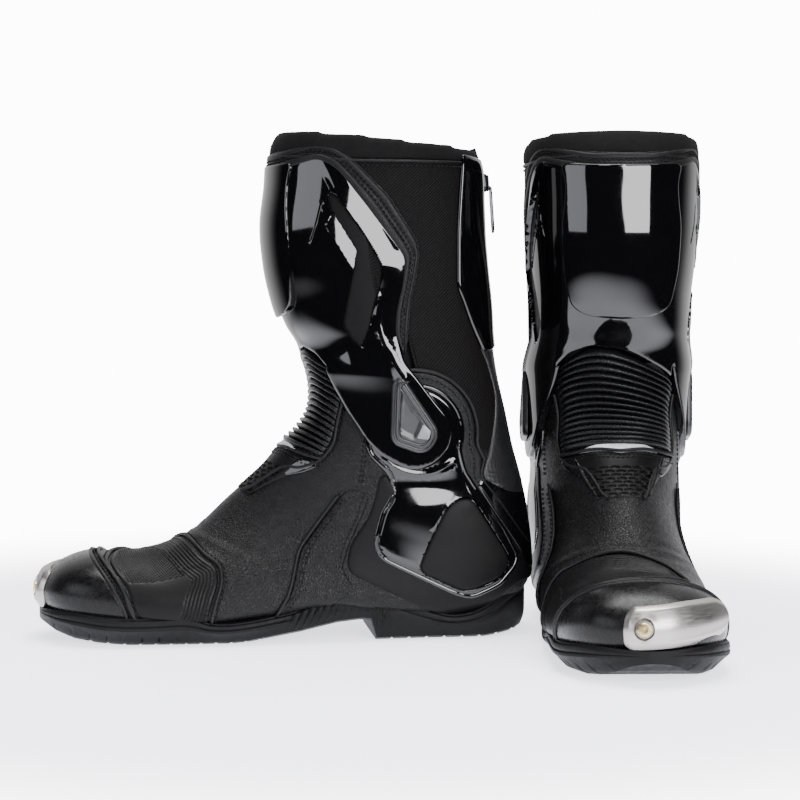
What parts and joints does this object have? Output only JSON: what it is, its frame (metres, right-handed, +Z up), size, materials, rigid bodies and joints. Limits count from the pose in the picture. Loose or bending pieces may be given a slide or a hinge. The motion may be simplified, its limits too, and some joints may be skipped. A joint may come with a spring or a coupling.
{
  "type": "motorcycle riding boots",
  "caption": "Tall race-style riding boots, a pair, with gloss shin and ankle armour, ribbed front bellows, toe sliders and rear zips.",
  "frame": {"origin": "centre of the pair's footprint box, on the floor", "axes": "+Z up; the left boot's toe points along -Y and the right boot's toe close to -X (5.6 degrees towards -Y)"},
  "size_m": [0.4172, 0.311, 0.3144],
  "materials": {
    "rubber_sole": "moulded matt rubber",
    "fibre_board": "pressed fibre",
    "foam_footbed": "textile-covered foam",
    "black_leather": "fine grain, semi-matt",
    "stretch_leather": "soft ribbed leather",
    "brushed_steel": "brushed",
    "brass_screw": "satin",
    "moulded_rubber": "embossed matt",
    "matte_polyurethane": "fine matt texture",
    "satin_polyurethane": "satin",
    "gloss_polyurethane": "high gloss",
    "mesh_lining": "knitted mesh",
    "woven_nylon": "twill weave",
    "padded_fabric": "brushed matt knit",
    "zip_tape_nylon": "woven tape with moulded teeth",
    "dark_zinc": "dark lacquer"
  },
  "bodies": {
    "right_foot": {"right_outsole": "rubber_sole", "right_insole_board": "fibre_board", "right_footbed": "foam_footbed", "right_upper": "black_leather", "right_toe_cap": "black_leather", "right_toe_slider": "brushed_steel", "right_slider_screw": "brass_screw", "right_shift_pad": "moulded_rubber", "right_instep_panel": "moulded_rubber", "right_heel_frame": "matte_polyurethane", "right_heel_shell_medial": "gloss_polyurethane", "right_heel_shell_lateral": "gloss_polyurethane", "right_heel_insert_medial": "matte_polyurethane", "right_heel_insert_lateral": "matte_polyurethane", "right_heel_counter": "gloss_polyurethane", "right_bellows": "stretch_leather", "right_lining": "mesh_lining"},
    "right_cuff": {"right_shin_brace": "gloss_polyurethane", "right_shin_insert": "gloss_polyurethane", "right_brace_inset_medial": "matte_polyurethane", "right_brace_inset_lateral": "matte_polyurethane", "right_ankle_cap_medial": "satin_polyurethane", "right_ankle_cap_lateral": "satin_polyurethane", "right_calf_panel": "woven_nylon", "right_trim_band": "black_leather", "right_collar": "padded_fabric", "right_zip_tape": "zip_tape_nylon"},
    "right_flap": {"right_rear_flap": "gloss_polyurethane"},
    "right_zip_slider": {"right_zip_slider": "dark_zinc"},
    "right_zip_pull": {"right_zip_pull": "dark_zinc"},
    "left_foot": {"left_outsole": "rubber_sole", "left_insole_board": "fibre_board", "left_footbed": "foam_footbed", "left_upper": "black_leather", "left_toe_cap": "black_leather", "left_toe_slider": "brushed_steel", "left_slider_screw": "brass_screw", "left_shift_pad": "moulded_rubber", "left_instep_panel": "moulded_rubber", "left_heel_frame": "matte_polyurethane", "left_heel_shell_medial": "gloss_polyurethane", "left_heel_shell_lateral": "gloss_polyurethane", "left_heel_insert_medial": "matte_polyurethane", "left_heel_insert_lateral": "matte_polyurethane", "left_heel_counter": "gloss_polyurethane", "left_bellows": "stretch_leather", "left_lining": "mesh_lining"},
    "left_cuff": {"left_shin_brace": "gloss_polyurethane", "left_shin_insert": "gloss_polyurethane", "left_brace_inset_medial": "matte_polyurethane", "left_brace_inset_lateral": "matte_polyurethane", "left_ankle_cap_medial": "satin_polyurethane", "left_ankle_cap_lateral": "satin_polyurethane", "left_calf_panel": "woven_nylon", "left_trim_band": "black_leather", "left_collar": "padded_fabric", "left_zip_tape": "zip_tape_nylon"},
    "left_flap": {"left_rear_flap": "gloss_polyurethane"},
    "left_zip_slider": {"left_zip_slider": "dark_zinc"},
    "left_zip_pull": {"left_zip_pull": "dark_zinc"}
  },
  "joints": [
    {"name": "right_ankle_flex", "type": "hinge", "parent": "right_foot", "child": "right_cuff", "pos_m": [0.02332, 0.04519, 0.128], "axis": [0.0976, -0.9952, 0], "range_deg": [-8, 20], "stiffness_Nm_per_rad": 12, "deforming": ["right_bellows", "right_lining"]},
    {"name": "right_zip", "type": "slide", "parent": "right_cuff", "child": "right_zip_slider", "axis": [0.0656, 0.0064, -0.9978], "range_m": [0, 0.095]},
    {"name": "right_zip_pull_swing", "type": "hinge", "parent": "right_zip_slider", "child": "right_zip_pull", "pos_m": [0.07705, 0.05046, 0.2798], "axis": [0.0976, -0.9952, 0], "range_deg": [0, 40]},
    {"name": "right_flap_open", "type": "hinge", "parent": "right_cuff", "child": "right_flap", "pos_m": [0.05235, 0.00533, 0.24], "axis": [0, 0, -1], "range_deg": [0, 100]},
    {"name": "left_boot_lift", "type": "slide", "parent": "right_foot", "child": "left_foot", "axis": [0, 0, 1], "range_m": [0, 0.35]},
    {"name": "left_ankle_flex", "type": "hinge", "parent": "left_foot", "child": "left_cuff", "pos_m": [0.15366, 0.07751, 0.128], "axis": [1, 0, 0], "range_deg": [-8, 20], "stiffness_Nm_per_rad": 12, "deforming": ["left_bellows", "left_lining"]},
    {"name": "left_zip", "type": "slide", "parent": "left_cuff", "child": "left_zip_slider", "axis": [0, 0.0659, -0.9978], "range_m": [0, 0.095]},
    {"name": "left_zip_pull_swing", "type": "hinge", "parent": "left_zip_slider", "child": "left_zip_pull", "pos_m": [0.15366, 0.1315, 0.2798], "axis": [1, 0, 0], "range_deg": [0, 150]},
    {"name": "left_flap_open", "type": "hinge", "parent": "left_cuff", "child": "left_flap", "pos_m": [0.11116, 0.10251, 0.24], "axis": [0, 0, 1], "range_deg": [0, 100]}
  ]
}
